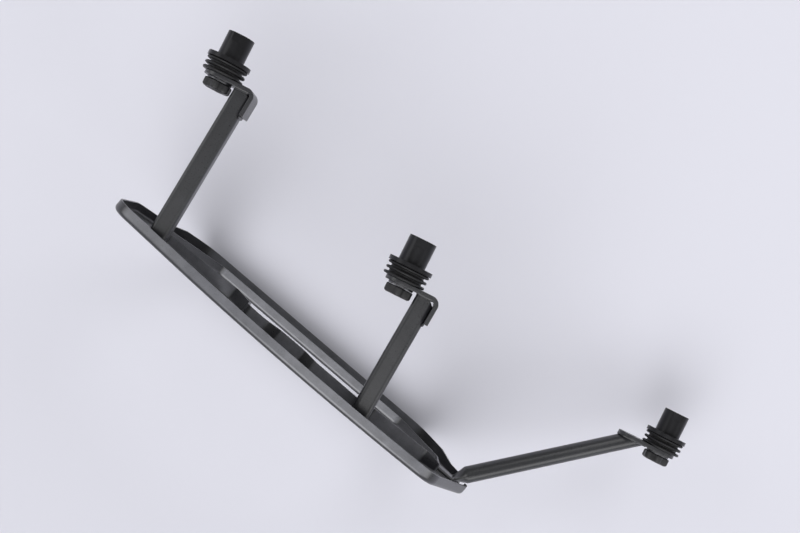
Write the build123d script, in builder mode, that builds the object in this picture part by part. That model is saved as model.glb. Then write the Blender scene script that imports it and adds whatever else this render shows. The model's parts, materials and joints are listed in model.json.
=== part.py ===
from build123d import *
from math import cos, hypot, radians, sin
import os

# Pannier frame for the right-hand side of a motorcycle, in millimetres.
# X runs forward along the ring, Y inward to the motorcycle, Z up.
# The origin is the centre of the four pannier bolts, on the ring's outer face.

# Pressed ring: sheet and folds
sheet = 2.0
outer_fold_depth = 11.0
foot_fold_depth = 15.0
window_fold_depth = 11.0
crown_fold_depth = 16.0
fold_taper = 26.0
bend_radius = 2.5

# Pressed ring: outer outline, measured from the origin
plate_rear = 222.0
plate_front = 208.0
plate_top = 128.0
plate_bottom = 127.0
crown_x = 35.0
arch_rear = 130.0
arch_rear_drop = 24.0
arch_front = 164.0
arch_front_drop = 17.0
rear_shoulder_set_in = 3.0
rear_shoulder_height = 74.0
rear_waist_height = -22.0
front_shoulder_height = 6.0
front_waist_set_in = 3.0
front_waist_height = -48.0
foot_rear = 150.0
foot_front = 150.0
outline_radius = 28.0

# Pressed ring: width of the bands round the window
top_band = 42.0
bottom_band = 34.0
rear_band = 35.0
front_band = 38.0
rear_band_foot = -6.0
front_band_foot = -34.0
window_foot_set_in = 28.0
window_radius = 10.0

# Rear gusset tongue with its slot
tongue_tip_x = -84.0
tongue_tip_height = 38.0
tongue_root_run = 20.0
tongue_root_height = 20.0
tongue_neck_x = -63.0
slot_length = 50.0
slot_width = 10.0
slot_fall = 29.0
slot_x = -110.0
slot_height = 56.0
tongue_hole_x = -78.0
tongue_hole_height = 59.0

# Lug in the middle of the top band
lug_x = -11.0
lug_length = 28.0
lug_flare = 16.0
lug_drop = 14.0
lug_hole_rise = 25.0

# Front gusset tongue
front_neck_x = 70.0
front_tip_x = 86.0
front_tip_height = 60.0
front_root_run = 20.0
front_root_height = 42.0
front_root_drop = 20.0
front_slot_x = 115.0
front_slot_height = 80.0
front_slot_length = 16.0
nose_hole_set_in = 44.0
nose_hole_height = 84.0

# Bolt holes for the pannier's adapter and for accessories
bolt_hole = 6.6
bolt_span_x = 296.0
bolt_span_z = 160.0
rear_hole_set_in = 21.0
rear_hole_heights = (70.0, 32.0, 12.0)

# Fastener positions: where each axis meets the outer face of its tab
toe_angle = 14.0
rear_lock_at = (-218.0, 154.0, 72.0)
front_lock_at = (31.0, 119.0, 102.0)
lower_lock_at = (344.0, 159.0, -60.0)

# Struts of rounded-square tube
tube_size = 18.0
tube_wall = 2.0
tube_corner = 4.5
rear_strut_set_in = 55.0
front_strut_set_in = 130.0

# Lower strut of round tube with a crimped end
rod_diameter = 17.0
rod_wall = 2.0
crimp_thickness = 4.5
crimp_height = 26.0
crimp_length = 18.0
crimp_blend = 16.0
crimp_set_in = 32.0
crimp_z = -22.0
crimp_notch_margin = 2.0
crimp_notch_depth = 10.0

# Straps that carry the fasteners
tab_thickness = 4.0
tab_width = 32.0
tab_reach = 25.0
tab_bend_inside = 4.0
tab_return = 24.0
lower_tab_reach = 30.0

# Quarter-turn fastener
stud_diameter = 8.0
stud_head_diameter = 13.0
stud_head_height = 2.2
stud_slot_width = 1.8
stud_slot_depth = 1.0
stud_tip_reach = 32.0
stud_tip_chamfer = 1.2
pin_diameter = 3.2
pin_length = 16.0
knob_diameter = 24.0
knob_height = 8.0
knob_lobes = 6
knob_lobe_diameter = 8.0
knob_lobe_pitch_diameter = 20.0
knob_edge = 1.0
knob_web = 2.5
washer_diameter = 24.0
washer_thickness = 2.0
spring_outer_diameter = 18.0
spring_inner_diameter = 10.5
spring_thickness = 0.7
spring_height = 2.2
rib_diameter = 40.0
rib_thickness = 3.0
groove_diameter = 32.0
groove_width = 2.0
rib_count = 3
bush_neck_diameter = 16.0
clip_diameter = 13.4
clip_thickness = 1.0
clip_mouth = 5.0
receptacle_flange_diameter = 42.0
receptacle_flange = 4.0
receptacle_diameter = 26.0
receptacle_length = 28.0
receptacle_flats = 24.0
receptacle_flat_length = 8.0
lock_wall = 6.5
lock_chamber = 7.5
clip_pocket = 2.5
clip_room = 1.0
mount_thread_drill = 6.8
mount_thread_depth = 10.0

# Clearances
running_gap = 0.3
seat_gap = 0.1
pin_gap = 0.05

# How far a cut runs past the piece it cuts
overcut = 1.0

os.makedirs("parts", exist_ok=True)


def save(piece, label):
    """Label a finished piece and write it to its own file."""
    piece.part.label = label
    export_step(piece.part, "parts/" + label + ".step")


# Directions shared by the fasteners: inward along each axis, and forward along each tab
inward = Vector(-sin(radians(toe_angle)), cos(radians(toe_angle)), 0)
along = Vector(cos(radians(toe_angle)), sin(radians(toe_angle)), 0)
up = Vector(0, 0, 1)

# Corners of the outer outline, as X and Z
arch_rear_end = (-arch_rear, plate_top - arch_rear_drop)
arch_front_end = (arch_front, plate_top - arch_front_drop)
rear_shoulder = (-plate_rear + rear_shoulder_set_in, rear_shoulder_height)
rear_waist = (-plate_rear, rear_waist_height)
foot_rear_corner = (-foot_rear, -plate_bottom)
foot_front_corner = (foot_front, -plate_bottom)
front_waist = (plate_front - front_waist_set_in, front_waist_height)
front_shoulder = (plate_front, front_shoulder_height)

# Corners of the window, as X and Z
window_top = plate_top - top_band
window_foot = -plate_bottom + bottom_band
window_rear = -plate_rear + rear_band
window_front = plate_front - front_band
window_corners = [
    (window_rear, rear_band_foot),
    (window_rear + tongue_root_run, tongue_root_height),
    (tongue_tip_x, tongue_tip_height),
    (tongue_neck_x, (window_top + tongue_tip_height) / 2),
    (tongue_neck_x, window_top),
    (lug_x - lug_length / 2 - lug_flare, window_top),
    (lug_x - lug_length / 2, window_top - lug_drop),
    (lug_x + lug_length / 2, window_top - lug_drop),
    (lug_x + lug_length / 2 + lug_flare, window_top),
    (front_neck_x, window_top),
    (front_tip_x, front_tip_height),
    (window_front - front_root_run, front_root_height),
    (window_front, front_root_height - front_root_drop),
    (window_front, front_band_foot),
    (foot_front - window_foot_set_in, window_foot),
    (-foot_rear + window_foot_set_in, window_foot),
]

with BuildSketch(Plane.XZ) as outline:
    with BuildLine():
        ThreePointArc(arch_rear_end, (crown_x, plate_top), arch_front_end)
        Polyline(
            arch_front_end,
            front_shoulder,
            front_waist,
            foot_front_corner,
            foot_rear_corner,
            rear_waist,
            rear_shoulder,
            arch_rear_end,
        )
    make_face()
    fillet(outline.vertices(), radius=outline_radius)

with BuildSketch(Plane.XZ) as window:
    with BuildLine():
        Polyline(*window_corners, close=True)
    make_face()
    fillet(window.vertices(), radius=window_radius)

# Fold round the outer edge: deeper along the foot of the ring
with BuildPart() as outer_fold:
    with BuildSketch(Plane.XZ):
        add(outline.sketch)
        offset(outline.sketch, amount=-sheet, mode=Mode.SUBTRACT)
    extrude(amount=-foot_fold_depth)
    with BuildSketch(Plane.YZ):
        with BuildLine():
            Polyline(
                (outer_fold_depth, plate_top + overcut),
                (outer_fold_depth, window_foot + fold_taper),
                (foot_fold_depth + overcut, window_foot),
                (foot_fold_depth + overcut, plate_top + overcut),
                close=True,
            )
        make_face()
    extrude(amount=plate_rear + plate_front, both=True, mode=Mode.SUBTRACT)

# Fold round the window: deeper along the top band
with BuildPart() as window_fold:
    with BuildSketch(Plane.XZ):
        offset(window.sketch, amount=sheet)
        add(window.sketch, mode=Mode.SUBTRACT)
    extrude(amount=-crown_fold_depth)
    with BuildSketch(Plane.YZ):
        with BuildLine():
            Polyline(
                (window_fold_depth, window_foot - sheet - overcut),
                (window_fold_depth, tongue_root_height),
                (crown_fold_depth + overcut, tongue_root_height + fold_taper),
                (crown_fold_depth + overcut, window_foot - sheet - overcut),
                close=True,
            )
        make_face()
    extrude(amount=plate_rear + plate_front, both=True, mode=Mode.SUBTRACT)

# Ring with rounded bends, notched for the lower strut's crimped end
with BuildPart() as frame_plate:
    with BuildSketch(Plane.XZ):
        add(outline.sketch)
        add(window.sketch, mode=Mode.SUBTRACT)
    extrude(amount=-sheet)
    add(outer_fold.part)
    add(window_fold.part)
    fillet(frame_plate.faces().sort_by(Axis.Y)[0].edges(), radius=bend_radius + sheet)
    fillet(frame_plate.faces().filter_by(Axis.Y).group_by(Axis.Y)[1].edges(), radius=bend_radius)
    with BuildSketch(Plane.XZ.offset(-sheet)):
        with Locations((plate_front, crimp_z)):
            Rectangle(2 * crimp_notch_depth, crimp_height + 2 * crimp_notch_margin)
    extrude(amount=-foot_fold_depth, mode=Mode.SUBTRACT)
    with BuildSketch(Plane.XZ):
        with GridLocations(bolt_span_x, bolt_span_z, 2, 2):
            Circle(bolt_hole / 2)
        with Locations(*[(-plate_rear + rear_hole_set_in, height) for height in rear_hole_heights]):
            Circle(bolt_hole / 2)
        with Locations(
            (tongue_hole_x, tongue_hole_height),
            (lug_x, window_top - lug_drop + lug_hole_rise),
            (plate_front - nose_hole_set_in, nose_hole_height),
        ):
            Circle(bolt_hole / 2)
        with Locations((slot_x, slot_height)):
            SlotOverall(slot_length, slot_width, rotation=-slot_fall)
        with Locations((front_slot_x, front_slot_height)):
            SlotOverall(front_slot_length, slot_width)
    extrude(amount=-sheet, mode=Mode.SUBTRACT)
save(frame_plate, "frame_plate")


def meet(point, direction, other_point, other_direction):
    """Point where two lines in plan cross, each given by a point and a direction."""
    cross = direction.X * other_direction.Y - direction.Y * other_direction.X
    gap = other_point - point
    return point + direction * ((gap.X * other_direction.Y - gap.Y * other_direction.X) / cross)


def make_strut(name, base_x, lock_at):
    """Square tube from the ring's inner face to the strap of its fastener, and that strap.

    The strap lies across the tube's end, bends round its front corner and runs back along its side.
    """
    lock = Vector(*lock_at)
    base = Vector(base_x, sheet, lock.Z)
    end = lock + along * tab_reach
    run = (end - base).normalized()
    side = Vector(run.Y, -run.X, 0)
    corner = meet(lock, along, end + side * (tube_size / 2), run)
    middle = meet(
        lock + inward * (tab_thickness / 2),
        along,
        end + side * (tube_size / 2 + tab_thickness / 2),
        run,
    )
    corner_way = (inward + side).normalized()

    with BuildPart() as strut:
        with BuildSketch(Plane(origin=base - run * tube_size, x_dir=up, z_dir=run)):
            RectangleRounded(tube_size, tube_size, tube_corner)
            offset(amount=-tube_wall, mode=Mode.SUBTRACT)
        extrude(amount=(end - base).length + 2 * tube_size)
        split(bisect_by=Plane(origin=(0, sheet, 0), z_dir=(0, 1, 0)), keep=Keep.TOP)
        split(bisect_by=Plane(origin=lock, z_dir=inward), keep=Keep.BOTTOM)
        split(
            bisect_by=Plane(origin=corner - corner_way * tab_bend_inside, z_dir=corner_way),
            keep=Keep.BOTTOM,
        )
    save(strut, name + "_strut")

    with BuildPart() as tab:
        with BuildSketch(Plane.XY.offset(lock.Z - tab_width / 2)):
            with BuildLine():
                FilletPolyline(
                    lock + inward * (tab_thickness / 2) - along * (tab_width / 2) - up * lock.Z,
                    middle - up * middle.Z,
                    middle - run * tab_return - up * middle.Z,
                    radius=tab_bend_inside + tab_thickness / 2,
                )
            trace(line_width=tab_thickness)
        extrude(amount=tab_width)
        fillet(tab.edges().filter_by(Axis(lock, inward)), radius=tab_width / 2 - seat_gap)
        with BuildSketch(Plane(origin=lock, x_dir=up, z_dir=inward)):
            Circle(bush_neck_diameter / 2 + seat_gap)
        extrude(amount=tab_thickness, mode=Mode.SUBTRACT)
    save(tab, name + "_tab")


make_strut("rear", -plate_rear + rear_strut_set_in, rear_lock_at)
make_strut("front", plate_front - front_strut_set_in, front_lock_at)

# Lower strut: crimped blade flat on the ring's front band, then a round tube to the lower tab
lower_lock = Vector(*lower_lock_at)
rod_end = lower_lock - along * lower_tab_reach
blade_end = Vector(plate_front - crimp_set_in + crimp_length, sheet + crimp_thickness / 2, crimp_z)
rod_run = (rod_end - blade_end).normalized()
rod_start = blade_end + rod_run * crimp_blend
rod_length = (rod_end - rod_start).length

with BuildPart() as lower_strut:
    with BuildSketch(Plane(origin=blade_end - Vector(crimp_length, 0, 0), x_dir=up, z_dir=(1, 0, 0))):
        RectangleRounded(crimp_height, crimp_thickness, crimp_thickness / 2 - seat_gap)
    extrude(amount=crimp_length)
    with BuildSketch(Plane(origin=blade_end, x_dir=up, z_dir=(1, 0, 0))):
        RectangleRounded(crimp_height, crimp_thickness, crimp_thickness / 2 - seat_gap)
    with BuildSketch(Plane(origin=rod_start, x_dir=up, z_dir=rod_run)):
        Circle(rod_diameter / 2)
    loft()
    with BuildSketch(Plane(origin=rod_start, x_dir=up, z_dir=rod_run)):
        Circle(rod_diameter / 2)
    extrude(amount=rod_length + rod_diameter)
    with BuildSketch(Plane(origin=rod_start, x_dir=up, z_dir=rod_run)):
        Circle(rod_diameter / 2 - rod_wall)
    extrude(amount=rod_length + rod_diameter, mode=Mode.SUBTRACT)
    split(bisect_by=Plane(origin=lower_lock, z_dir=inward), keep=Keep.BOTTOM)
save(lower_strut, "lower_strut")

with BuildPart() as lower_tab:
    with BuildSketch(Plane(origin=lower_lock, x_dir=along, z_dir=inward)):
        with Locations((-lower_tab_reach / 2, 0)):
            SlotCenterToCenter(lower_tab_reach, tab_width)
        Circle(bush_neck_diameter / 2 + seat_gap, mode=Mode.SUBTRACT)
    extrude(amount=tab_thickness)
save(lower_tab, "lower_tab")


def make_lock(name, lock_at):
    """Quarter-turn fastener: every piece is turned about the axis through its tab.

    Places along the axis count inward from the outer face of the tab.
    """
    lock = Vector(*lock_at)
    axis = Axis(lock, inward)
    profile = Plane(origin=lock, x_dir=up, z_dir=up.cross(inward))

    def across(place):
        """Plane across the axis at this place, facing the motorcycle."""
        return Plane(origin=lock + inward * place, x_dir=up, z_dir=inward)

    stud_radius = stud_diameter / 2
    bush_end = tab_thickness + rib_count * rib_thickness + (rib_count - 1) * groove_width
    knob_foot = -washer_thickness - running_gap
    knob_top = knob_foot - knob_height
    head_seat = knob_foot - spring_height - seat_gap - knob_web
    wall_end = bush_end + clip_pocket + lock_wall
    chamber_end = wall_end + lock_chamber
    receptacle_end = bush_end + receptacle_length
    pin_place = wall_end + running_gap + pin_diameter / 2
    clip_place = bush_end + running_gap

    with BuildPart() as bush:
        with BuildSketch(across(0)):
            Circle(bush_neck_diameter / 2)
        extrude(amount=tab_thickness)
        with BuildSketch(across(tab_thickness)):
            Circle(groove_diameter / 2)
        extrude(amount=bush_end - tab_thickness)
        for rib in range(rib_count):
            with BuildSketch(across(tab_thickness + rib * (rib_thickness + groove_width))):
                Circle(rib_diameter / 2)
            extrude(amount=rib_thickness)
        fillet(bush.edges().filter_by(GeomType.CIRCLE).group_by(SortBy.RADIUS)[-1], radius=rib_thickness / 4)
        with BuildSketch(across(0)):
            Circle(stud_radius + running_gap)
        extrude(amount=bush_end, mode=Mode.SUBTRACT)
    save(bush, name + "_bush")

    with BuildPart() as washer:
        with BuildSketch(across(-washer_thickness)):
            Circle(washer_diameter / 2)
            Circle(stud_radius + seat_gap, mode=Mode.SUBTRACT)
        extrude(amount=washer_thickness)
    save(washer, name + "_washer")

    with BuildPart() as spring:
        with BuildSketch(profile):
            with BuildLine():
                Polyline(
                    (spring_outer_diameter / 2, knob_foot),
                    (spring_outer_diameter / 2, knob_foot - spring_thickness),
                    (spring_inner_diameter / 2, knob_foot - spring_height),
                    (spring_inner_diameter / 2, knob_foot - spring_height + spring_thickness),
                    close=True,
                )
            make_face()
        revolve(axis=axis)
    save(spring, name + "_spring")

    with BuildPart() as knob:
        with BuildSketch(across(knob_top)):
            Circle(knob_diameter / 2)
            with PolarLocations(knob_lobe_pitch_diameter / 2, knob_lobes):
                Circle(knob_lobe_diameter / 2)
        extrude(amount=knob_height)
        chamfer(knob.faces().sort_by(axis)[0].edges(), length=knob_edge)
        with BuildSketch(across(knob_foot)):
            Circle(spring_outer_diameter / 2 + running_gap)
        extrude(amount=-spring_height - seat_gap, mode=Mode.SUBTRACT)
        with BuildSketch(across(head_seat)):
            Circle(stud_head_diameter / 2 + seat_gap)
        extrude(amount=knob_top - head_seat, mode=Mode.SUBTRACT)
        with BuildSketch(across(knob_top)):
            Circle(stud_radius + pin_gap)
        extrude(amount=knob_height, mode=Mode.SUBTRACT)
    save(knob, name + "_knob")

    with BuildPart() as stud:
        with BuildSketch(across(head_seat)):
            Circle(stud_head_diameter / 2)
        extrude(amount=-stud_head_height)
        with BuildSketch(across(head_seat)):
            Circle(stud_radius)
        extrude(amount=stud_tip_reach - head_seat)
        chamfer(stud.faces().sort_by(axis)[-1].edges(), length=stud_tip_chamfer)
        with BuildSketch(across(head_seat - stud_head_height)):
            Rectangle(stud_head_diameter + 2 * overcut, stud_slot_width)
        extrude(amount=stud_slot_depth, mode=Mode.SUBTRACT)
        with BuildSketch(across(clip_place)):
            Circle(stud_radius + overcut)
            Circle(stud_radius - clip_thickness, mode=Mode.SUBTRACT)
        extrude(amount=clip_thickness + 2 * pin_gap, mode=Mode.SUBTRACT)
        with BuildSketch(Plane(origin=lock + inward * pin_place, x_dir=inward, z_dir=up)):
            Circle(pin_diameter / 2 + pin_gap)
        extrude(amount=stud_diameter, both=True, mode=Mode.SUBTRACT)
    save(stud, name + "_stud")

    with BuildPart() as pin:
        with BuildSketch(Plane(origin=lock + inward * pin_place, x_dir=inward, z_dir=up)):
            Circle(pin_diameter / 2)
        extrude(amount=pin_length / 2, both=True)
    save(pin, name + "_cross_pin")

    with BuildPart() as clip:
        with BuildSketch(across(clip_place + pin_gap)):
            Circle(clip_diameter / 2)
            Circle(stud_radius - clip_thickness + pin_gap, mode=Mode.SUBTRACT)
            with Locations((clip_diameter / 2, 0)):
                Rectangle(clip_diameter, clip_mouth, mode=Mode.SUBTRACT)
        extrude(amount=clip_thickness)
    save(clip, name + "_clip")

    with BuildPart() as receptacle:
        with BuildSketch(across(bush_end)):
            Circle(receptacle_flange_diameter / 2)
        extrude(amount=receptacle_flange)
        with BuildSketch(across(bush_end + receptacle_flange)):
            Circle(receptacle_diameter / 2)
        extrude(amount=receptacle_length - receptacle_flange)
        with BuildSketch(across(receptacle_end)):
            Circle(receptacle_diameter / 2 + overcut)
            Rectangle(receptacle_flats, receptacle_diameter + 2 * overcut, mode=Mode.SUBTRACT)
        extrude(amount=-receptacle_flat_length, mode=Mode.SUBTRACT)
        with BuildSketch(across(bush_end)):
            Circle(clip_diameter / 2 + clip_room)
        extrude(amount=clip_pocket, mode=Mode.SUBTRACT)
        with BuildSketch(across(bush_end)):
            Circle(stud_radius + running_gap)
            Rectangle(pin_diameter + 2 * running_gap, pin_length + 2 * running_gap)
        extrude(amount=clip_pocket + lock_wall, mode=Mode.SUBTRACT)
        with BuildSketch(across(wall_end)):
            Circle(hypot(pin_length / 2, pin_diameter / 2) + running_gap)
        extrude(amount=chamber_end - wall_end, mode=Mode.SUBTRACT)
        with BuildSketch(across(receptacle_end)):
            Circle(mount_thread_drill / 2)
        extrude(amount=-mount_thread_depth, mode=Mode.SUBTRACT)
    save(receptacle, name + "_receptacle")


make_lock("rear", rear_lock_at)
make_lock("front", front_lock_at)
make_lock("lower", lower_lock_at)
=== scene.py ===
"""Dress the pannier frame: coated ring and struts, welds, knobs, rubber bushes, studio and camera."""
import json
import logging
import math
from dataclasses import dataclass
from enum import Enum

import bpy
from mathutils import Matrix, Vector

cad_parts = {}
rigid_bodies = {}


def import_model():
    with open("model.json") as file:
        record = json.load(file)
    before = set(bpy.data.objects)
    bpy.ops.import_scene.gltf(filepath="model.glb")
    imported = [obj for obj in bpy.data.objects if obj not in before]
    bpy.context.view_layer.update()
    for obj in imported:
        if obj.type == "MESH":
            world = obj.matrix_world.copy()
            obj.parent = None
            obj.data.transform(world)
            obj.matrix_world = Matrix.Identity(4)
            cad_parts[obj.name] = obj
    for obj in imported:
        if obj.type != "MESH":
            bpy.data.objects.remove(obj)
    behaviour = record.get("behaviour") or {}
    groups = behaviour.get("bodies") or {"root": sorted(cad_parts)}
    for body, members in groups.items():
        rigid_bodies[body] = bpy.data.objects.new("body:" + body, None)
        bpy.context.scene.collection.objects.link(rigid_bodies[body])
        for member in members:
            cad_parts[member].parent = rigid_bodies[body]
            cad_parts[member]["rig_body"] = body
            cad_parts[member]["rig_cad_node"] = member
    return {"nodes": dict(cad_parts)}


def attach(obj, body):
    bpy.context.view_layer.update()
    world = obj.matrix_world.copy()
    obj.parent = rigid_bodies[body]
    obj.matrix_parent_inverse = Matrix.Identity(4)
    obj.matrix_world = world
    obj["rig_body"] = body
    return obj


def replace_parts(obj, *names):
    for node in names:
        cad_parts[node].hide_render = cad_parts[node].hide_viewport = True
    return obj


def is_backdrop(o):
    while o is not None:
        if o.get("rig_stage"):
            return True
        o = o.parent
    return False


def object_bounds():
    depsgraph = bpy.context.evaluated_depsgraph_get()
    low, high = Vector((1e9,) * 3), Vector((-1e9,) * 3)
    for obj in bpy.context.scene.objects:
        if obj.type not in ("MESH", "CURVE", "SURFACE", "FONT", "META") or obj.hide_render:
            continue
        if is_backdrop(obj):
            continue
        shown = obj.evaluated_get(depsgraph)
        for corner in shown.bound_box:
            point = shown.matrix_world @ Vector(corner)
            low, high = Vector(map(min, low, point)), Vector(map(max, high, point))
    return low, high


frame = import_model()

LOG = logging.getLogger("pannier_frame")

Socket = bpy.types.NodeSocket
Colour = tuple[float, float, float]
Point = tuple[float, float, float]
Span = tuple[float, float]
Profile = list[tuple[float, float]]
Seam = list[Vector]
Cut = tuple[Vector, Vector]

MM = 0.001
# The fasteners' axes are turned by this angle from the ring's normal.
TOE = math.radians(14.0)
INWARD = Vector((-math.sin(TOE), math.cos(TOE), 0.0))
ALONG = Vector((math.cos(TOE), math.sin(TOE), 0.0))
UP = Vector((0.0, 0.0, 1.0))
RING_NORMAL = Vector((0.0, 1.0, 0.0))
# Corners nearer than this, in metres, are merged.
TOUCHING = 1e-6
# Neighbouring faces that turn by less than this, in degrees, are one flat face.
FLAT = 0.3
# Edges of a coated solid that turn by more than this, in degrees, are sharp.
SHARP = 32.0
# Faces across a rounded edge.
ROUND_ROWS = 2
# Most of a noise pattern's values lie in this range.
MIDDLE = (0.3, 0.7)


class Corner(Enum):
    """Fixing points of the frame, named for where they sit."""

    REAR = "rear"
    FRONT = "front"
    LOWER = "lower"

    @property
    def lock(self) -> Vector:
        """Where the fastener's axis meets the outer face of its strap.

        Returns:
            The point, in metres.
        """
        places = {
            Corner.REAR: (-218.0, 154.0, 72.0),
            Corner.FRONT: (31.0, 119.0, 102.0),
            Corner.LOWER: (344.0, 159.0, -60.0),
        }
        return Vector(places[self]) * MM


class Finish(Enum):
    """Finishes of the frame, named as the record's slots. The ring's coat is a second powder_coat, with a
    stronger painted highlight on its up-facing faces.
    """

    RING_COAT = "ring_coat"
    POWDER_COAT = "powder_coat"
    RUBBER = "rubber"
    KNOB_PLASTIC = "knob_plastic"
    BLACK_STEEL = "black_steel"
    SPRING_STEEL = "spring_steel"
    BLACK_ALLOY = "black_alloy"


class Graph:
    """Node tree of one material, with short calls that add nodes and join sockets."""

    # Places of the Mix node's colour sockets, which share their names with its other sockets.
    MIX_AMOUNT, MIX_FIRST, MIX_SECOND, MIX_RESULT = 0, 6, 7, 2

    def __init__(self, name: str) -> None:
        """Start a material with a Principled shader.

        Args:
            name: name of the material.
        """
        self.material = bpy.data.materials.new(name)
        self.material.use_nodes = True
        self.tree = self.material.node_tree
        self.shader = self.tree.nodes["Principled BSDF"]
        self.place = self.node("ShaderNodeTexCoord").outputs["Object"]

    def feed(self, entry: Socket, value: object) -> None:
        """Set an input, or link it.

        Args:
            entry: the input.
            value: plain value, or output socket to link from.
        """
        if isinstance(value, Socket):
            self.tree.links.new(value, entry)
        else:
            entry.default_value = value

    def fill(self, node: bpy.types.Node, sockets: dict[str, object]) -> None:
        """Set or link a node's inputs.

        Args:
            node: node that owns the inputs.
            sockets: input name, with underscores for spaces, to a value or to a socket that feeds it.
        """
        for name, value in sockets.items():
            self.feed(node.inputs[name.replace("_", " ")], value)

    def node(self, kind: str, **sockets: object) -> bpy.types.Node:
        """Add a node and fill its inputs.

        Args:
            kind: Blender's name of the node type.
            sockets: the node's inputs, as for fill.

        Returns:
            The new node.
        """
        made = self.tree.nodes.new(kind)
        self.fill(made, sockets)
        return made

    def noise(self, size: float, detail: float, rough: float = 0.5) -> Socket:
        """Cloudy pattern.

        Args:
            size: width of one cloud, in metres.
            detail: number of finer layers.
            rough: strength of the finer layers.

        Returns:
            The pattern's value socket, 0 to 1.
        """
        made = self.node(
            "ShaderNodeTexNoise", Vector=self.place, Scale=1.0 / size, Detail=detail, Roughness=rough
        )
        return made.outputs["Fac"]

    def spread(self, value: Socket, reads: Span, gives: Span = (0.0, 1.0)) -> Socket:
        """Map a value from one range onto another, held at its ends.

        Args:
            value: socket to map.
            reads: range that is read.
            gives: values given at the two ends of that range.

        Returns:
            The mapped value's socket.
        """
        made = self.node("ShaderNodeMapRange", Value=value, From_Min=reads[0], From_Max=reads[1])
        self.fill(made, {"To Min": gives[0], "To Max": gives[1]})
        return made.outputs["Result"]

    def times(self, first: Socket, second: Socket | float) -> Socket:
        """Product of two values.

        Args:
            first: socket.
            second: socket or number.

        Returns:
            The product's socket.
        """
        made = self.node("ShaderNodeMath")
        made.operation = "MULTIPLY"
        for place, value in enumerate((first, second)):
            self.feed(made.inputs[place], value)
        return made.outputs["Value"]

    def mix(self, amount: Socket, first: Socket | Colour, second: Socket | Colour) -> Socket:
        """Blend two colours.

        Args:
            amount: socket, 0 for the first colour and 1 for the second.
            first: colour or socket.
            second: colour or socket.

        Returns:
            The blended colour's socket.
        """
        made = self.node("ShaderNodeMix")
        made.data_type = "RGBA"
        self.feed(made.inputs[self.MIX_AMOUNT], amount)
        for place, value in ((self.MIX_FIRST, first), (self.MIX_SECOND, second)):
            self.feed(made.inputs[place], (*value, 1.0) if isinstance(value, tuple) else value)
        return made.outputs[self.MIX_RESULT]

    def bump(self, height: Socket, depth: float, strength: float, below: Socket | None = None) -> Socket:
        """Surface relief from a pattern.

        Args:
            height: socket with the relief's height, 0 to 1.
            depth: height of the relief, in metres.
            strength: how much of it shows.
            below: normal of a relief under this one.

        Returns:
            The normal's socket.
        """
        made = self.node("ShaderNodeBump", Height=height, Distance=depth, Strength=strength)
        if below is not None:
            self.feed(made.inputs["Normal"], below)
        return made.outputs["Normal"]

    def edges(self, reads: Span) -> Socket:
        """Mask of outer edges or of grooves, from a range of the mesh's own pointiness."""
        return self.spread(self.node("ShaderNodeNewGeometry").outputs["Pointiness"], reads)

    def finish(self, **sockets: object) -> bpy.types.Material:
        """Fill the shader's inputs and hand the material over."""
        self.fill(self.shader, sockets)
        return self.material


@dataclass(frozen=True)
class PowderCoat:
    """Fine-textured black powder coat: sandy grain, faint clouds, a thin film and a painted highlight on
    what faces up.

    Sizes are in metres. Up to the given share of a face that points up is painted pale grey, a painted
    highlight for the overhead light it reflects.
    """

    name: str
    # Most of an up-facing face that the painted highlight covers.
    top_highlight_share: float
    dark: Colour = (0.0105, 0.011, 0.0138)
    light: Colour = (0.025, 0.026, 0.031)
    film: Colour = (0.047, 0.048, 0.055)
    # Colour of the painted highlight on up-facing faces, a pale dust grey.
    dust: Colour = (0.226, 0.229, 0.256)
    rough: Span = (0.26, 0.38)
    sheen: float = 0.8
    grain_size: float = 0.0009
    grain_depth: float = 0.00008
    grit_size: float = 0.00035
    grit_depth: float = 0.000024
    cloud_size: float = 0.11
    film_size: float = 0.028
    patch_size: float = 0.016
    speckle: Span = (0.35, 0.68)
    clouding: Span = (0.25, 0.6)
    filmed: Span = (0.5, 0.78)
    film_most: float = 0.3
    # Rise of the normal over which the painted highlight fades in.
    upward: Span = (0.8, 0.97)
    patching: Span = (0.6, 1.0)

    def make(self) -> bpy.types.Material:
        """Build the material.

        Returns:
            The material.
        """
        graph = Graph(self.name)
        grain = graph.noise(self.grain_size, detail=2.5, rough=0.6)
        speck = graph.spread(grain, self.speckle)
        cloud = graph.spread(graph.noise(self.cloud_size, detail=2.0), MIDDLE, self.clouding)
        tone = graph.mix(graph.times(speck, cloud), self.dark, self.light)
        haze = graph.noise(self.film_size, detail=6.0, rough=0.62)
        smear = graph.spread(haze, self.filmed, (0.0, self.film_most))
        # Painted highlight: faces that point up blend, in noisy patches, towards the pale grey, standing in
        # for reflected overhead light.
        normal = graph.node("ShaderNodeNewGeometry").outputs["Normal"]
        rise = graph.node("ShaderNodeSeparateXYZ", Vector=normal).outputs["Z"]
        top_highlight_mask = graph.spread(rise, self.upward, (0.0, self.top_highlight_share))
        patches = graph.spread(graph.noise(self.patch_size, detail=6.0, rough=0.65), MIDDLE, self.patching)
        grit = graph.bump(graph.noise(self.grit_size, detail=2.0), self.grit_depth, strength=0.35)
        return graph.finish(
            Base_Color=graph.mix(graph.times(top_highlight_mask, patches), graph.mix(smear, tone, self.film), self.dust),
            Roughness=graph.spread(grain, MIDDLE, self.rough),
            Specular_IOR_Level=self.sheen,
            Normal=graph.bump(grain, self.grain_depth, strength=0.55, below=grit),
        )


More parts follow.
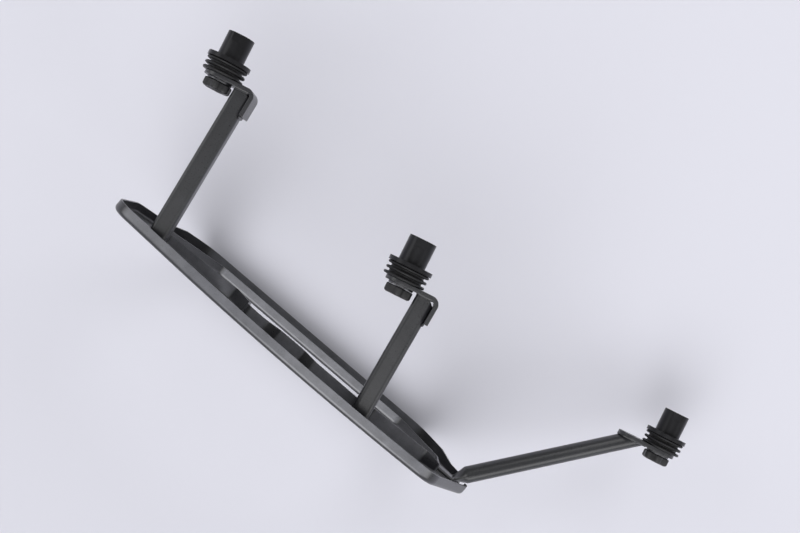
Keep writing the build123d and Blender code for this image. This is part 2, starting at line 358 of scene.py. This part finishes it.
@dataclass(frozen=True)
class Rubber:
    """Moulded black rubber with a dusty bloom in its grooves. Sizes are in metres."""

    name: str = "moulded_rubber"
    black: Colour = (0.0095, 0.0095, 0.0108)
    bloom: Colour = (0.05, 0.05, 0.052)
    rough: Span = (0.42, 0.6)
    sheen: float = 0.4
    groove: Span = (0.49, 0.42)
    bloom_size: float = 0.004
    bloomed: Span = (0.35, 0.7)
    cloud_size: float = 0.003
    grain_size: float = 0.0006
    grain_depth: float = 0.00005

    def make(self) -> bpy.types.Material:
        """Build the material.

        Returns:
            The material.
        """
        graph = Graph(self.name)
        patches = graph.spread(graph.noise(self.bloom_size, detail=4.0), self.bloomed)
        dust = graph.times(graph.edges(self.groove), patches)
        grain = graph.noise(self.grain_size, detail=3.0)
        return graph.finish(
            Base_Color=graph.mix(dust, self.black, self.bloom),
            Roughness=graph.spread(graph.noise(self.cloud_size, detail=3.0), MIDDLE, self.rough),
            Specular_IOR_Level=self.sheen,
            Normal=graph.bump(grain, self.grain_depth, strength=0.5),
        )


@dataclass(frozen=True)
class GrainedPlastic:
    """Moulded knob plastic with a fine grain of cells and scuffed lobes. Sizes are in metres."""

    name: str = "grained_plastic"
    black: Colour = (0.0125, 0.0126, 0.0145)
    scuff: Colour = (0.085, 0.085, 0.09)
    rough: Span = (0.36, 0.5)
    edge: Span = (0.52, 0.62)
    scuff_size: float = 0.003
    scuffed: Span = (0.45, 0.62)
    scuff_most: float = 0.6
    cloud_size: float = 0.008
    cells_per_metre: float = 1400.0
    cell_depth: float = 0.00006

    def make(self) -> bpy.types.Material:
        """Build the material.

        Returns:
            The material.
        """
        graph = Graph(self.name)
        cells = graph.node("ShaderNodeTexVoronoi", Vector=graph.place, Scale=self.cells_per_metre)
        patches = graph.spread(graph.noise(self.scuff_size, detail=5.0), self.scuffed)
        scuffs = graph.times(graph.edges(self.edge), patches)
        return graph.finish(
            Base_Color=graph.mix(graph.times(scuffs, self.scuff_most), self.black, self.scuff),
            Roughness=graph.spread(graph.noise(self.cloud_size, detail=3.0), MIDDLE, self.rough),
            Normal=graph.bump(cells.outputs["Distance"], self.cell_depth, strength=0.45),
        )


@dataclass(frozen=True)
class BareSteel:
    """Plated or tempered steel, faintly clouded. Sizes are in metres."""

    name: str
    dark: Colour
    light: Colour
    rough: Span
    cloud_size: float = 0.004
    smear_size: float = 0.002
    grain_size: float = 0.0004
    grain_depth: float = 0.00002

    def make(self) -> bpy.types.Material:
        """Build the material.

        Returns:
            The material.
        """
        graph = Graph(self.name)
        cloud = graph.spread(graph.noise(self.cloud_size, detail=5.0, rough=0.6), MIDDLE)
        grain = graph.noise(self.grain_size, detail=2.0)
        return graph.finish(
            Base_Color=graph.mix(cloud, self.dark, self.light),
            Metallic=1.0,
            Roughness=graph.spread(graph.noise(self.smear_size, detail=3.0), MIDDLE, self.rough),
            Normal=graph.bump(grain, self.grain_depth, strength=0.3),
        )


@dataclass(frozen=True)
class AnodisedAlloy:
    """Turned aluminium, anodised black, with the tool's fine rings round the axis. Sizes are in metres."""

    name: str = "black_anodised_alloy"
    dark: Colour = (0.014, 0.014, 0.0163)
    light: Colour = (0.022, 0.022, 0.025)
    rough: Span = (0.28, 0.36)
    metal: float = 0.55
    cloud_size: float = 0.02
    ring_pitch: float = 0.0004
    ring_depth: float = 0.00002
    # Width of one band of the Wave texture at a scale of 1.
    band: float = 0.314

    def make(self) -> bpy.types.Material:
        """Build the material.

        Returns:
            The material.
        """
        graph = Graph(self.name)
        turn = graph.node("ShaderNodeMapping", Vector=graph.place, Rotation=(0.0, 0.0, -TOE))
        scale = self.band / self.ring_pitch
        rings = graph.node("ShaderNodeTexWave", Vector=turn.outputs["Vector"], Scale=scale)
        rings.bands_direction = "Y"
        cloud = graph.spread(graph.noise(self.cloud_size, detail=3.0), MIDDLE)
        return graph.finish(
            Base_Color=graph.mix(cloud, self.dark, self.light),
            Metallic=self.metal,
            Roughness=graph.spread(cloud, (0.0, 1.0), self.rough),
            Normal=graph.bump(rings.outputs["Fac"], self.ring_depth, strength=0.4),
        )


class Finishes:
    """Every finish of the frame, each made into a material once."""

    def __init__(self) -> None:
        """Make the materials."""
        zinc = BareSteel("dark_zinc_steel", (0.10, 0.10, 0.11), (0.2, 0.2, 0.21), (0.28, 0.44))
        spring = BareSteel("spring_steel", (0.3, 0.3, 0.31), (0.42, 0.42, 0.43), (0.24, 0.4))
        self.materials: dict[Finish, bpy.types.Material] = {
            # The ring's coat has a strong painted highlight on its up-facing faces, the tubes' coat a faint
            # one.
            Finish.RING_COAT: PowderCoat("painted_highlight_powder_coat", top_highlight_share=0.8).make(),
            Finish.POWDER_COAT: PowderCoat("satin_powder_coat", top_highlight_share=0.02).make(),
            Finish.RUBBER: Rubber().make(),
            Finish.KNOB_PLASTIC: GrainedPlastic().make(),
            Finish.BLACK_STEEL: zinc.make(),
            Finish.SPRING_STEEL: spring.make(),
            Finish.BLACK_ALLOY: AnodisedAlloy().make(),
        }

    def dress(self, piece: bpy.types.Object, finish: Finish) -> None:
        """Give a piece one of the finishes."""
        piece.data.materials.clear()
        piece.data.materials.append(self.materials[finish])


class Bench:
    """Modelling moves that the sub-assemblies share."""

    @staticmethod
    def clear() -> None:
        """Leave nothing selected."""
        bpy.ops.object.select_all(action="DESELECT")

    @staticmethod
    def take(piece: bpy.types.Object) -> None:
        """Select one piece alone.

        Args:
            piece: the piece to work on.
        """
        Bench.clear()
        piece.select_set(True)
        bpy.context.view_layer.objects.active = piece

    @staticmethod
    def soften(piece: bpy.types.Object, width: float, angle: float) -> None:
        """Round a piece's sharp edges and shade it smoothly, with its large faces kept flat.

        Args:
            piece: the piece to work on.
            width: width of the rounding, in metres.
            angle: edges sharper than this, in degrees, are rounded.
        """
        Bench.take(piece)
        bpy.ops.object.shade_smooth()
        bevel = piece.modifiers.new("soft_edges", "BEVEL")
        bevel.width = width
        bevel.segments = ROUND_ROWS
        bevel.limit_method = "ANGLE"
        bevel.angle_limit = math.radians(angle)
        bevel.miter_outer = "MITER_ARC"
        even = piece.modifiers.new("even_faces", "WEIGHTED_NORMAL")
        for modifier in (bevel, even):
            bpy.ops.object.modifier_apply(modifier=modifier.name)

    @staticmethod
    def crisp(piece: bpy.types.Object, angle: float) -> None:
        """Shade a piece smoothly between its sharp edges, with its large faces kept flat.

        Args:
            piece: the piece to work on.
            angle: edges sharper than this, in degrees, stay sharp.
        """
        Bench.take(piece)
        bpy.ops.object.shade_smooth_by_angle(angle=math.radians(angle))
        even = piece.modifiers.new("even_faces", "WEIGHTED_NORMAL")
        even.keep_sharp = True
        bpy.ops.object.modifier_apply(modifier=even.name)

    @staticmethod
    def coated(node: str, width: float, cuts: tuple[Cut, ...] = ()) -> bpy.types.Object:
        """Copy a rigid solid and give the copy the soft edges that a coat of powder leaves.

        Args:
            node: name of the solid.
            width: width of the rounding, in metres, or 0 for edges that welds cover.
            cuts: point and direction of each loop that is cut across the copy, so that its faces stay short.

        Returns:
            The new piece, which stands for the solid.
        """
        Bench.take(frame["nodes"][node])
        bpy.ops.object.duplicate()
        piece = bpy.context.active_object
        piece.name = node + "_coated"
        del piece["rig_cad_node"]
        bpy.ops.object.mode_set(mode="EDIT")
        bpy.ops.mesh.select_all(action="SELECT")
        bpy.ops.mesh.remove_doubles(threshold=TOUCHING)
        bpy.ops.mesh.dissolve_limited(angle_limit=math.radians(FLAT))
        for place, way in cuts:
            bpy.ops.mesh.select_all(action="SELECT")
            bpy.ops.mesh.bisect(plane_co=place, plane_no=way)
        bpy.ops.object.mode_set(mode="OBJECT")
        if width > 0:
            Bench.soften(piece, width, SHARP)
        else:
            Bench.crisp(piece, SHARP)
        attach(piece, piece["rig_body"])
        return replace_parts(piece, node)

    @staticmethod
    def turned(name: str, profile: Profile, steps: int) -> bpy.types.Object:
        """Spin a closed profile about Z into a ring-shaped solid.

        Args:
            name: name of the new piece.
            profile: radius and height of each corner, in millimetres, in order round the section.
            steps: faces round the axis.

        Returns:
            The new piece, with its axis along Z.
        """
        Bench.clear()
        bpy.ops.mesh.primitive_circle_add(vertices=len(profile), radius=MM, fill_type="NOTHING")
        piece = bpy.context.active_object
        piece.name = name
        for corner, (radius, height) in zip(piece.data.vertices, profile):
            corner.co = (radius * MM, 0.0, height * MM)
        bpy.ops.object.mode_set(mode="EDIT")
        bpy.ops.mesh.select_all(action="SELECT")
        bpy.ops.mesh.spin(steps=steps, angle=math.tau, center=(0, 0, 0), axis=(0, 0, 1))
        bpy.ops.mesh.select_all(action="SELECT")
        bpy.ops.mesh.remove_doubles(threshold=TOUCHING)
        bpy.ops.mesh.normals_make_consistent(inside=False)
        bpy.ops.object.mode_set(mode="OBJECT")
        return piece

    @staticmethod
    def stand(piece: bpy.types.Object, corner: Corner) -> None:
        """Stand a piece that was made about Z on a fastener's axis, and apply its place.

        Args:
            piece: the piece to place.
            corner: the fastener that it belongs to.
        """
        side = INWARD.cross(UP)
        turn = Matrix((UP, side, INWARD)).transposed().to_4x4()
        piece.matrix_world = Matrix.Translation(corner.lock) @ turn
        Bench.take(piece)
        bpy.ops.object.transform_apply(location=True, rotation=True, scale=True)


@dataclass(frozen=True)
class Weld:
    """Coated weld: a row of overlapping ripples along each seam, merged into one skin.

    Lengths are in metres. Half a ripple's length is the pitch times overlap, width is half its width and
    crown its height. It leans along the seam, and its size swells and shrinks by a quick and a slow beat.
    """

    name: str
    seams: list[Seam]
    facing: Vector
    pitch: float = 0.0011
    overlap: float = 1.9
    width: float = 0.0021
    crown: float = 0.0012
    lean: float = 0.35
    swell: float = 0.05
    quick_beat: float = 1.7
    slow_beat: float = 0.37
    sides: int = 10
    bands: int = 6
    skin: float = 0.0003

    def stops(self, seam: Seam) -> list[tuple[Vector, Vector]]:
        """Even steps along a seam.

        Args:
            seam: corners of the seam's line.

        Returns:
            A point and the seam's direction there, for each ripple.
        """
        found: list[tuple[Vector, Vector]] = []
        left = 0.0
        for start, stop in zip(seam, seam[1:]):
            way = (stop - start).normalized()
            length = (stop - start).length
            while left <= length:
                found.append((start + way * left, way))
                left += self.pitch
            left -= length
        return found

    def ripple(self) -> bpy.types.Object:
        """Model one ripple, with its length along X and its crown along Z.

        Returns:
            The ripple.
        """
        Bench.clear()
        bpy.ops.mesh.primitive_uv_sphere_add(segments=self.sides, ring_count=self.bands, radius=1.0)
        ripple = bpy.context.active_object
        ripple.name = "weld_ripple"
        bpy.ops.object.mode_set(mode="EDIT")
        bpy.ops.mesh.select_all(action="SELECT")
        bpy.ops.transform.resize(value=(self.pitch * self.overlap, self.width, self.crown))
        bpy.ops.object.mode_set(mode="OBJECT")
        return ripple

    def row(self, ripple: bpy.types.Object, seam: Seam) -> list[bpy.types.Object]:
        """Set copies of a ripple along a seam.

        Args:
            ripple: the ripple to copy.
            seam: corners of the seam's line.

        Returns:
            The copies.
        """
        copies: list[bpy.types.Object] = []
        for count, (point, way) in enumerate(self.stops(seam)):
            copy = bpy.data.objects.new(self.name, ripple.data.copy())
            bpy.context.collection.objects.link(copy)
            across = self.facing.cross(way).normalized()
            crest = (self.facing + way * self.lean).normalized()
            axes = Matrix((across.cross(crest), across, crest)).transposed().to_4x4()
            quick = self.swell * math.sin(count * self.quick_beat)
            slow = self.swell * math.sin(count * self.slow_beat)
            copy.matrix_world = Matrix.Translation(point) @ axes @ Matrix.Scale(1.0 + quick + slow, 4)
            copies.append(copy)
        return copies

    def lay(self, finishes: Finishes) -> None:
        """Model the weld's ripples, merge them into one skin and join it to the frame's body.

        Args:
            finishes: materials of the frame.
        """
        ripple = self.ripple()
        copies = [copy for seam in self.seams for copy in self.row(ripple, seam)]
        bpy.data.objects.remove(ripple)
        Bench.clear()
        for copy in copies:
            copy.select_set(True)
        bpy.context.view_layer.objects.active = copies[0]
        bpy.ops.object.join()
        bpy.ops.object.transform_apply(location=True, rotation=True, scale=True)
        bead = bpy.context.active_object
        bead.name = self.name
        merge = bead.modifiers.new("one_skin", "REMESH")
        merge.mode = "VOXEL"
        merge.voxel_size = self.skin
        bpy.ops.object.modifier_apply(modifier=merge.name)
        bpy.ops.object.shade_smooth()
        finishes.dress(bead, Finish.POWDER_COAT)
        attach(bead, "frame")


@dataclass
class Ring:
    """Pressed ring that carries the pannier."""

    finishes: Finishes
    edge: float = 0.5 * MM

    def build(self) -> None:
        """Model and dress the ring."""
        plate = Bench.coated("frame_plate", self.edge)
        self.finishes.dress(plate, Finish.RING_COAT)
        LOG.info("ring: %d faces", len(plate.data.polygons))


@dataclass
class Strut:
    """Square tube from the ring to a strap, with its welds.

    Base_x is where the tube's axis leaves the ring, half is half the tube's width, and reach runs along the
    strap from the fastener to the tube's end. The fields from foot_flare on place the lines of the welds.
    """

    corner: Corner
    base_x: float
    finishes: Finishes
    sheet: float = 2.0 * MM
    half: float = 9.0 * MM
    corner_radius: float = 4.5 * MM
    reach: float = 25.0 * MM
    strap: float = 4.0 * MM
    strap_return: float = 24.0 * MM
    edge: float = 0.5 * MM
    foot_flare: float = 1.2
    foot_steps: int = 4
    strap_rise: float = 0.6 * MM
    strap_front: float = 0.55
    strap_rear: float = 0.85
    return_gap: float = 1.0 * MM
    return_half: float = 8.0 * MM

    def __post_init__(self) -> None:
        """Work out the tube's line."""
        lock = self.corner.lock
        self.base = Vector((self.base_x, self.sheet, lock.z))
        self.end = lock + ALONG * self.reach
        self.run = (self.end - self.base).normalized()
        self.side = Vector((self.run.y, -self.run.x, 0.0))

    def foot_seam(self) -> Seam:
        """Line round the tube's foot, on the ring's inner face.

        Returns:
            The closed line.
        """
        wide = self.half / self.run.y
        flare = self.corner_radius * self.foot_flare
        line: Seam = []
        for quarter in range(4):
            corner = math.radians(90.0 * quarter + 45.0)
            across = math.copysign(wide - self.corner_radius, math.cos(corner))
            high = math.copysign(self.half - self.corner_radius, math.sin(corner))
            for step in range(self.foot_steps + 1):
                angle = math.radians(90.0 * quarter + 90.0 / self.foot_steps * step)
                outward = Vector((across + flare * math.cos(angle), 0.0, 0.0))
                line.append(self.base + outward + UP * (high + flare * math.sin(angle)))
        return line + line[:1]

    def strap_seams(self) -> list[Seam]:
        """Lines where the strap is welded over the tube's end.

        Returns:
            The upper and the lower line.
        """
        wide = self.half / self.run.dot(INWARD)
        rise = UP * (self.half + self.strap_rise)
        front = self.end + ALONG * (wide * self.strap_front)
        rear = self.end - ALONG * (wide * self.strap_rear)
        return [[front + rise, rear + rise], [rear - rise, front - rise]]

    def return_seam(self) -> Seam:
        """Line at the end of the strap's return, on the tube's side.

        Returns:
            The line, from top to bottom.
        """
        bend = self.end + ALONG * ((self.half + self.strap / 2) / self.side.dot(ALONG))
        length = self.strap_return - self.strap / 2 + self.return_gap
        foot = bend - self.run * length - self.side * (self.strap / 2)
        return [foot + UP * self.return_half, foot - UP * self.return_half]

    def build(self) -> None:
        """Model and dress the tube, its strap and its welds."""
        name = self.corner.value
        for part in ("_strut", "_tab"):
            piece = Bench.coated(name + part, self.edge)
            self.finishes.dress(piece, Finish.POWDER_COAT)
        Weld(name + "_foot_weld", [self.foot_seam()], RING_NORMAL).lay(self.finishes)
        Weld(name + "_strap_weld", self.strap_seams(), -INWARD).lay(self.finishes)
        Weld(name + "_return_weld", [self.return_seam()], self.side).lay(self.finishes)
        LOG.info("%s strut and strap", name)


@dataclass
class LowerStrut:
    """Round tube with a crimped end, from the ring's front band to the lower strap.

    The flat blade of the crimp lies on the ring, and the tube is round again after crimp_blend. Loops are
    cut across the round part, which ends a mitre's length before the strap. The fields from rear_gap on
    place the lines of the welds.
    """

    finishes: Finishes
    blade_rear: float = 176.0 * MM
    blade_front: float = 194.0 * MM
    blade_z: float = -22.0 * MM
    blade_half: float = 13.0 * MM
    blade_middle: float = 4.25 * MM
    sheet: float = 2.0 * MM
    radius: float = 8.5 * MM
    reach: float = 30.0 * MM
    crimp_blend: float = 18.0 * MM
    mitre: float = 12.0 * MM
    loop: float = 5.0 * MM
    edge: float = 0.4 * MM
    rear_gap: float = 0.6 * MM
    seam_gap: float = 0.5 * MM
    oval_steps: int = 32

    def __post_init__(self) -> None:
        """Work out the tube's line."""
        self.end = Corner.LOWER.lock - ALONG * self.reach
        self.start = Vector((self.blade_front, self.blade_middle, self.blade_z))
        self.run = (self.end - self.start).normalized()

    def blade_seam(self) -> Seam:
        """Line round three sides of the crimped blade, on the ring's inner face.

        Returns:
            The open line.
        """
        rear, front = self.blade_rear - self.rear_gap, self.blade_front
        low = self.blade_z - self.blade_half - self.seam_gap
        high = self.blade_z + self.blade_half + self.seam_gap
        corners = ((front, high), (rear, high), (rear, low), (front, low))
        return [Vector((x, self.sheet, z)) for x, z in corners]

    def strap_seam(self) -> Seam:
        """Oval line where the tube meets the lower strap.

        Returns:
            The closed line.
        """
        major = (self.run - INWARD * self.run.dot(INWARD)).normalized()
        minor = INWARD.cross(major)
        short = self.radius + self.seam_gap
        long = short / self.run.dot(INWARD)
        line: Seam = []
        for step in range(self.oval_steps + 1):
            angle = math.tau * step / self.oval_steps
            line.append(self.end + major * (long * math.cos(angle)) + minor * (short * math.sin(angle)))
        return line

    def build(self) -> None:
        """Model and dress the tube, its strap and its welds."""
        plain = (self.end - self.start).length - self.crimp_blend - self.mitre
        cuts = tuple(
            (self.start + self.run * (self.crimp_blend + self.loop * step), self.run)
            for step in range(1, int(plain / self.loop) + 1)
        )
        for piece in (Bench.coated("lower_strut", 0.0, cuts), Bench.coated("lower_tab", self.edge)):
            self.finishes.dress(piece, Finish.POWDER_COAT)
        Weld("lower_blade_weld", [self.blade_seam()], RING_NORMAL).lay(self.finishes)
        Weld("lower_strap_weld", [self.strap_seam()], -INWARD).lay(self.finishes)
        LOG.info("lower strut and strap")


@dataclass(frozen=True)
class Knob:
    """Lobed knob with a dished face and a pocket for the disc spring.

    Lengths are in millimetres, apart from edge, and heights run inward along the axis from the strap's
    outer face. Corners farther from the axis than the pocket by more than lobed_past follow the lobes.
    """

    lobes: int = 6
    radius: float = 12.0
    lobe_radius: float = 4.0
    lobe_circle: float = 10.0
    lobe_blend: float = 1.6
    lobed_past: float = 0.4
    foot: float = -2.3
    top: float = -10.3
    pocket: float = 9.3
    ceiling: float = -4.6
    seat: float = -7.1
    head: float = 6.6
    bore: float = 4.05
    chamfer: float = 0.6
    shoulder: float = 2.0
    shoulder_drop: float = 0.7
    lip_outer: float = 1.9
    lip_inner: float = 1.2
    dish: float = 0.6
    steps: int = 144
    edge: float = 0.4 * MM
    sharp: float = 38.0

    def rim(self, angle: float) -> float:
        """Distance from the axis to the knob's lobed side.

        Args:
            angle: angle round the axis, in radians.

        Returns:
            The distance, in millimetres.
        """
        part = math.tau / self.lobes
        off = (angle + part / 2) % part - part / 2
        reach = self.lobe_radius**2 - (self.lobe_circle * math.sin(off)) ** 2
        lobe = self.lobe_circle * math.cos(off) + math.sqrt(reach) if reach > 0 else 0.0
        both = math.exp(self.lobe_blend * lobe) + math.exp(self.lobe_blend * self.radius)
        return math.log(both) / self.lobe_blend

    def model(self, corner: Corner) -> bpy.types.Object:
        """Model the knob on its fastener's axis.

        Args:
            corner: the fastener that it belongs to.

        Returns:
            The knob.
        """
        profile = [
            (self.pocket, self.foot),
            (self.radius - self.chamfer, self.foot),
            (self.radius, self.foot - self.chamfer),
            (self.radius, self.top + self.shoulder),
            (self.radius - self.chamfer, self.top + self.shoulder_drop),
            (self.radius - self.shoulder, self.top),
            (self.head + self.lip_outer, self.top),
            (self.head + self.lip_inner, self.top + self.dish),
            (self.head, self.top + self.dish),
            (self.head, self.seat),
            (self.bore, self.seat),
            (self.bore, self.ceiling),
            (self.pocket, self.ceiling),
        ]
        piece = Bench.turned(corner.value + "_grip_knob", profile, self.steps)
        for point in piece.data.vertices:
            flat = math.hypot(point.co.x, point.co.y)
            if flat > (self.pocket + self.lobed_past) * MM:
                grow = self.rim(math.atan2(point.co.y, point.co.x)) / self.radius
                point.co.x *= grow
                point.co.y *= grow
        Bench.soften(piece, self.edge, self.sharp)
        Bench.stand(piece, corner)
        return piece


@dataclass(frozen=True)
class Bush:
    """Ribbed rubber bush with rounded ribs and grooves.

    Lengths are in millimetres, apart from edge, and heights run inward along the axis from the strap's
    outer face. A rib's section and the groove after it are radii and heights from the start of the rib.
    """

    passage: float = 4.3
    neck: float = 8.0
    ribs: int = 3
    first_rib: float = 4.0
    rib_pitch: float = 5.0
    rib: tuple[Span, ...] = (
        (16.2, 0.0),
        (18.9, 0.15),
        (19.8, 0.75),
        (20.0, 1.5),
        (19.8, 2.25),
        (18.9, 2.85),
        (16.2, 3.0),
    )
    groove: Span = (15.8, 4.0)
    end: float = 17.0
    steps: int = 96
    edge: float = 0.25 * MM
    sharp: float = 50.0

    def model(self, corner: Corner) -> bpy.types.Object:
        """Model the bush on its fastener's axis.

        Args:
            corner: the fastener that it belongs to.

        Returns:
            The bush.
        """
        profile: Profile = [(self.passage, 0.0), (self.neck, 0.0), (self.neck, self.first_rib)]
        for count in range(self.ribs):
            start = self.first_rib + self.rib_pitch * count
            section = self.rib if count == self.ribs - 1 else (*self.rib, self.groove)
            profile += [(radius, start + height) for radius, height in section]
        profile.append((self.passage, self.end))
        piece = Bench.turned(corner.value + "_ribbed_bush", profile, self.steps)
        Bench.soften(piece, self.edge, self.sharp)
        Bench.stand(piece, corner)
        return piece


@dataclass
class Fastener:
    """Quarter-turn fastener at one corner: lobed knob, ribbed bush and the metal pieces between them."""

    corner: Corner
    finishes: Finishes
    edge: float = 0.3 * MM

    def build(self) -> None:
        """Model and dress every piece of the fastener."""
        name = self.corner.value
        knob = Knob().model(self.corner)
        self.finishes.dress(knob, Finish.KNOB_PLASTIC)
        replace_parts(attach(knob, name + "_lock"), name + "_knob")
        bush = Bush().model(self.corner)
        self.finishes.dress(bush, Finish.RUBBER)
        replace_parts(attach(bush, "frame"), name + "_bush")
        shown = {"washer": "black_steel", "stud": "black_steel", "receptacle": "black_alloy"}
        for kind, slot in shown.items():
            piece = Bench.coated(name + "_" + kind, self.edge)
            self.finishes.dress(piece, Finish(slot))
        inside = {"spring": "spring_steel", "cross_pin": "black_steel", "clip": "spring_steel"}
        for kind, slot in inside.items():
            self.finishes.dress(frame["nodes"][name + "_" + kind], Finish(slot))
        LOG.info("%s fastener", name)


@dataclass(frozen=True)
class SoftBox:
    """Soft lamp: where it hangs and its two sides, in metres, and its power, in watts."""

    name: str
    place: Point
    sides: Span
    power: float

    def hang(self, target: Vector) -> None:
        """Hang the lamp.

        Args:
            target: what it points at.
        """
        data = bpy.data.lights.new(self.name, "AREA")
        data.shape = "RECTANGLE"
        data.size, data.size_y = self.sides
        data.energy = self.power
        lamp = bpy.data.objects.new(self.name, data)
        bpy.context.scene.collection.objects.link(lamp)
        lamp.location = self.place
        lamp.rotation_euler = (target - Vector(self.place)).to_track_quat("-Z", "Y").to_euler()


@dataclass(frozen=True)
class Studio:
    """Pale floor, soft light and the camera at the photograph's angle.

    Eye, aim, lens and sensor are in millimetres, and other lengths in metres. Wall_band has the sines of
    the two elevations between which the walls fade into the ceiling, and window_edge the cosines of the
    two angles between which the window fades in.
    """

    floor: Colour = (0.723, 0.723, 0.80)
    floor_side: float = 40.0
    floor_gap: float = 0.001
    floor_rough: float = 0.9
    cloud_size: float = 0.9
    clouding: Span = (0.985, 1.0)
    walls: float = 0.34
    ceiling: float = 0.3
    wall_band: Span = (0.1, 0.9)
    window: Point = (0.10, -0.60, 0.79)
    window_glow: float = 3.45
    window_edge: Span = (0.84, 0.96)
    middle: Point = (0.05, 0.08, 0.0)
    lamps: tuple[SoftBox, ...] = (
        SoftBox("front_box", (2.8, -0.4, 1.6), (1.8, 1.6), 18.0),
        SoftBox("rear_box", (-2.8, -0.2, 1.5), (1.8, 1.6), 12.0),
        SoftBox("back_box", (0.6, 2.8, 2.0), (2.0, 1.4), 20.0),
    )
    eye: Point = (28.0, 124.3, 1143.0)
    aim: Point = (18.7, 131.6, 18.3)
    image_up: Point = (-0.6365, 0.7464, 0.1942)
    lens: float = 52.5
    sensor: float = 36.0
    clip: Span = (0.02, 100.0)

    def ground(self, height: float) -> None:
        """Lay the floor.

        Args:
            height: height of the floor, in metres.
        """
        Bench.clear()
        bpy.ops.mesh.primitive_plane_add(size=self.floor_side, location=(0.0, 0.0, height))
        floor = bpy.context.active_object
        floor.name = "studio_floor"
        graph = Graph("pale_floor")
        tone = graph.spread(graph.noise(self.cloud_size, detail=2.0), MIDDLE, self.clouding)
        paint = graph.node("ShaderNodeHueSaturation", Value=tone, Color=(*self.floor, 1.0)).outputs["Color"]
        floor.data.materials.append(graph.finish(Base_Color=paint, Roughness=self.floor_rough))
        floor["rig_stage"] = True

    def sky(self) -> None:
        """Surround the scene with pale walls, a darker ceiling and one broad soft window."""
        world = bpy.data.worlds.new("studio_air")
        bpy.context.scene.world = world
        world.use_nodes = True
        tree = world.node_tree
        way = tree.nodes.new("ShaderNodeTexCoord").outputs["Generated"]
        height = tree.nodes.new("ShaderNodeSeparateXYZ")
        tree.links.new(way, height.inputs["Vector"])
        facing = tree.nodes.new("ShaderNodeVectorMath")
        facing.operation = "DOT_PRODUCT"
        facing.inputs[1].default_value = Vector(self.window).normalized()
        tree.links.new(way, facing.inputs[0])
        total = tree.nodes.new("ShaderNodeMath")
        glows = (
            (height.outputs["Z"], (*self.wall_band, self.walls, self.ceiling)),
            (facing.outputs["Value"], (*self.window_edge, 0.0, self.window_glow)),
        )
        for place, (value, numbers) in enumerate(glows):
            fade = tree.nodes.new("ShaderNodeMapRange")
            for name, number in zip(("From Min", "From Max", "To Min", "To Max"), numbers):
                fade.inputs[name].default_value = number
            tree.links.new(value, fade.inputs["Value"])
            tree.links.new(fade.outputs["Result"], total.inputs[place])
        back = tree.nodes["Background"]
        back.inputs["Color"].default_value = (1.0, 1.0, 1.0, 1.0)
        tree.links.new(total.outputs["Value"], back.inputs["Strength"])

    def look(self) -> None:
        """Set up the camera."""
        eye, aim, up = Vector(self.eye) * MM, Vector(self.aim) * MM, Vector(self.image_up)
        ahead = (aim - eye).normalized()
        upward = (up - ahead * up.dot(ahead)).normalized()
        across = ahead.cross(upward)
        data = bpy.data.cameras.new("camera")
        data.lens = self.lens
        data.sensor_width = self.sensor
        data.clip_start, data.clip_end = self.clip
        camera = bpy.data.objects.new("camera", data)
        bpy.context.scene.collection.objects.link(camera)
        axes = Matrix((across, upward, -ahead)).transposed().to_4x4()
        camera.matrix_world = Matrix.Translation(eye) @ axes
        bpy.context.scene.camera = camera

    def build(self, lowest: float) -> None:
        """Put the studio up.

        Args:
            lowest: height of the object's lowest point, in metres.
        """
        self.ground(lowest - self.floor_gap)
        self.sky()
        for lamp in self.lamps:
            lamp.hang(Vector(self.middle))
        self.look()
        bpy.context.scene.view_settings.view_transform = "Standard"


def main() -> None:
    """Build the sub-assemblies in order."""
    logging.basicConfig(level=logging.INFO, format="%(name)s: %(message)s")
    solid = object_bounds()
    finishes = Finishes()
    Ring(finishes).build()
    Strut(Corner.REAR, -167.0 * MM, finishes).build()
    Strut(Corner.FRONT, 78.0 * MM, finishes).build()
    LowerStrut(finishes).build()
    for corner in Corner:
        Fastener(corner, finishes).build()
    Studio().build(solid[0].z)
    LOG.info("sizes written")


if __name__ == "__main__":
    main()
